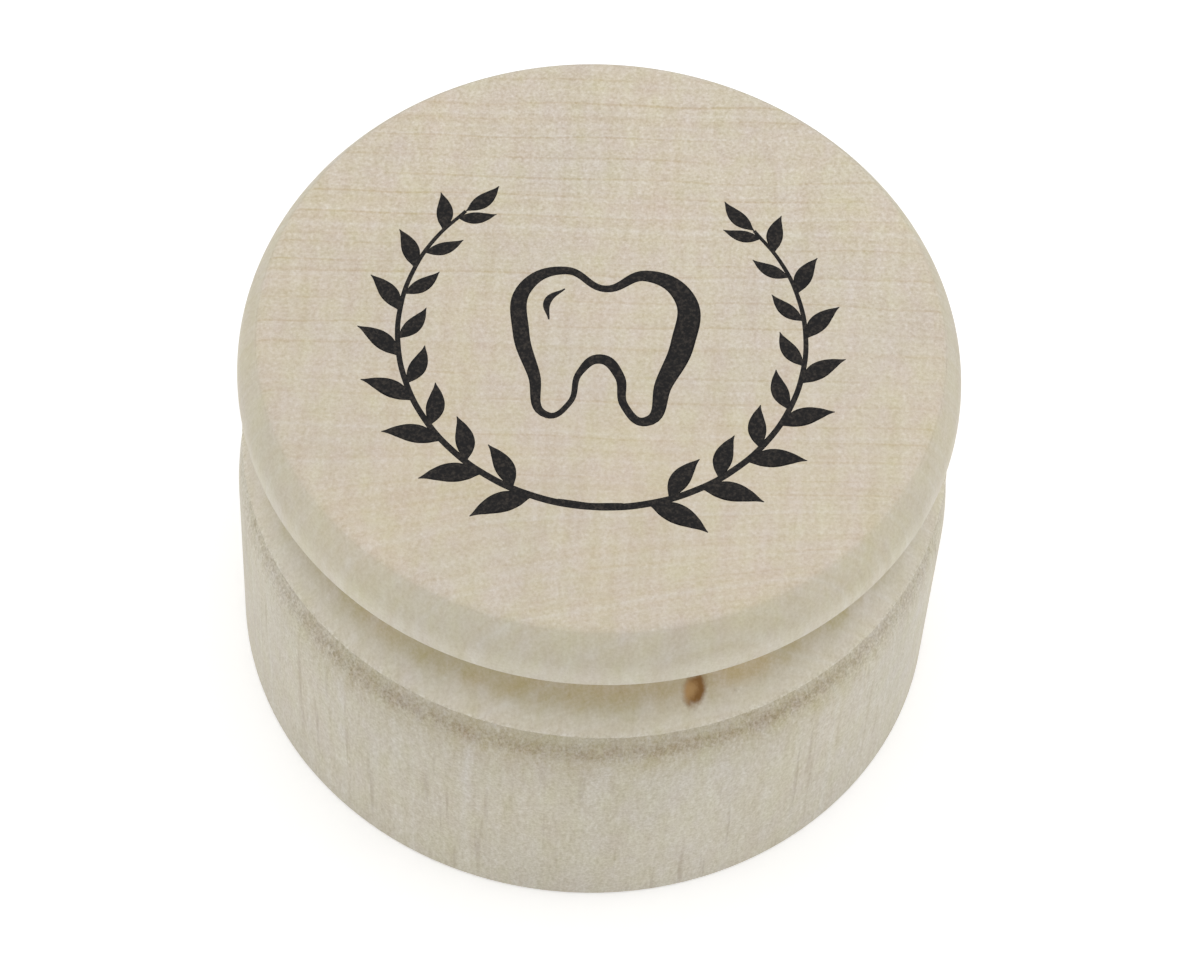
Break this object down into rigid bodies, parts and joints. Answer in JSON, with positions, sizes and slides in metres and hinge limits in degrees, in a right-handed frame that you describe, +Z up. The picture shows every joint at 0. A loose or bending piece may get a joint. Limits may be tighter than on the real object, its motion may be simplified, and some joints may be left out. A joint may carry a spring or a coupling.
{
  "type": "baby tooth box",
  "caption": "Small round turned wooden keepsake box for milk teeth: a pot with a grooved wall and a cove, and a lid that plugs into its bore and lifts off.",
  "frame": {"origin": "centre of the base, on the turning axis", "axes": "+Z up the turning axis, from the base to the lid's top face"},
  "size_m": [0.0456, 0.0456, 0.0305],
  "materials": {
    "pot_wood": "bare pale wood, turned and sanded, upright grain",
    "lid_wood": "bare pale wood, turned and sanded, end grain on the top face"
  },
  "bodies": {
    "pot": {"pot": "pot_wood"},
    "lid": {"lid": "lid_wood"}
  },
  "joints": [
    {"name": "lid_lift", "type": "slide", "parent": "pot", "child": "lid", "axis": [0, 0, 1], "range_m": [0, 0.03]}
  ]
}
